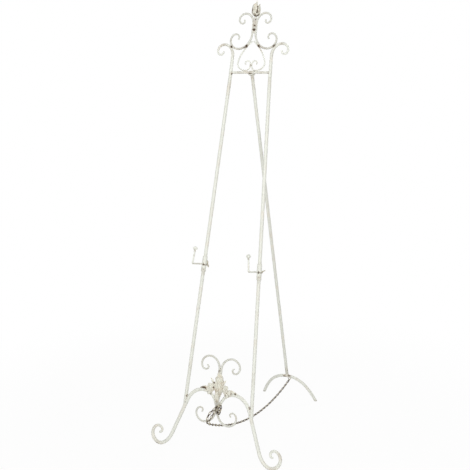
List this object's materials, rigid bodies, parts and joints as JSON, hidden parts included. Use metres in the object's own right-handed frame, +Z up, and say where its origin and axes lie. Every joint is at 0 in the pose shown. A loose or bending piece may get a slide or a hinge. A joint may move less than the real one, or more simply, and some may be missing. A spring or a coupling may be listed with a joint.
{
  "type": "display easel",
  "caption": "Tall standing display easel of bent bar and tube with scrollwork, cast leaves, two sliding picture holders and a hinged rear leg held by a chain.",
  "frame": {"origin": "on the floor, in the middle of the easel's width and of its reach from front to back", "axes": "+Z up, -Y towards the person who looks at the picture, +X to that person's right"},
  "size_m": [0.5392, 0.6797, 1.6203],
  "materials": {
    "ivory_paint": "chalky ivory paint, rubbed and chipped, with rust at the welds",
    "ivory_casting": "ivory paint on rough castings, brown in the hollows",
    "aged_steel": "bare steel gone brown with rust"
  },
  "bodies": {
    "front_frame": {"left_leg": "ivory_paint", "right_leg": "ivory_paint", "left_upright": "ivory_paint", "right_upright": "ivory_paint", "left_base_scroll": "ivory_paint", "right_base_scroll": "ivory_paint", "left_crest_stile": "ivory_paint", "right_crest_stile": "ivory_paint", "crest_crossbar": "ivory_paint", "left_crest_scroll": "ivory_paint", "right_crest_scroll": "ivory_paint", "left_heart_wire": "ivory_paint", "right_heart_wire": "ivory_paint", "finial_rod": "ivory_paint", "finial_bud": "ivory_casting", "centre_leaf": "ivory_casting", "left_side_leaf": "ivory_casting", "right_side_leaf": "ivory_casting", "hinge_bracket": "ivory_paint", "hinge_pin": "aged_steel", "chain_wrap": "aged_steel", "chain_span": "aged_steel"},
    "rear_support": {"rear_leg": "ivory_paint", "rear_arch_foot": "ivory_paint", "chain_staple": "aged_steel"},
    "left_holder": {"left_sleeve": "ivory_paint", "left_hook": "ivory_paint", "left_ball": "ivory_casting", "left_clamp_nut": "aged_steel"},
    "left_screw": {"left_wing_screw": "ivory_paint"},
    "right_holder": {"right_sleeve": "ivory_paint", "right_hook": "ivory_paint", "right_ball": "ivory_casting", "right_clamp_nut": "aged_steel"},
    "right_screw": {"right_wing_screw": "ivory_paint"}
  },
  "joints": [
    {"name": "fold", "type": "hinge", "parent": "front_frame", "child": "rear_support", "pos_m": [0, -0.03385, 1.36137], "axis": [1, 0, 0], "range_deg": [-26.5, 0], "deforming": ["chain_span"]},
    {"name": "left_holder_slide", "type": "slide", "parent": "front_frame", "child": "left_holder", "axis": [0.0471, 0.205, 0.9776], "range_m": [-0.38, 0.65]},
    {"name": "right_holder_slide", "type": "slide", "parent": "front_frame", "child": "right_holder", "axis": [-0.0471, 0.205, 0.9776], "range_m": [-0.374, 0.656]},
    {"name": "left_screw_turn", "type": "hinge", "parent": "left_holder", "child": "left_screw", "pos_m": [-0.1128, -0.1927, 0.67434], "axis": [0, 0.9787, -0.2052], "continuous": true},
    {"name": "right_screw_turn", "type": "hinge", "parent": "right_holder", "child": "right_screw", "pos_m": [0.11308, -0.19393, 0.66847], "axis": [0, 0.9787, -0.2052], "continuous": true}
  ]
}
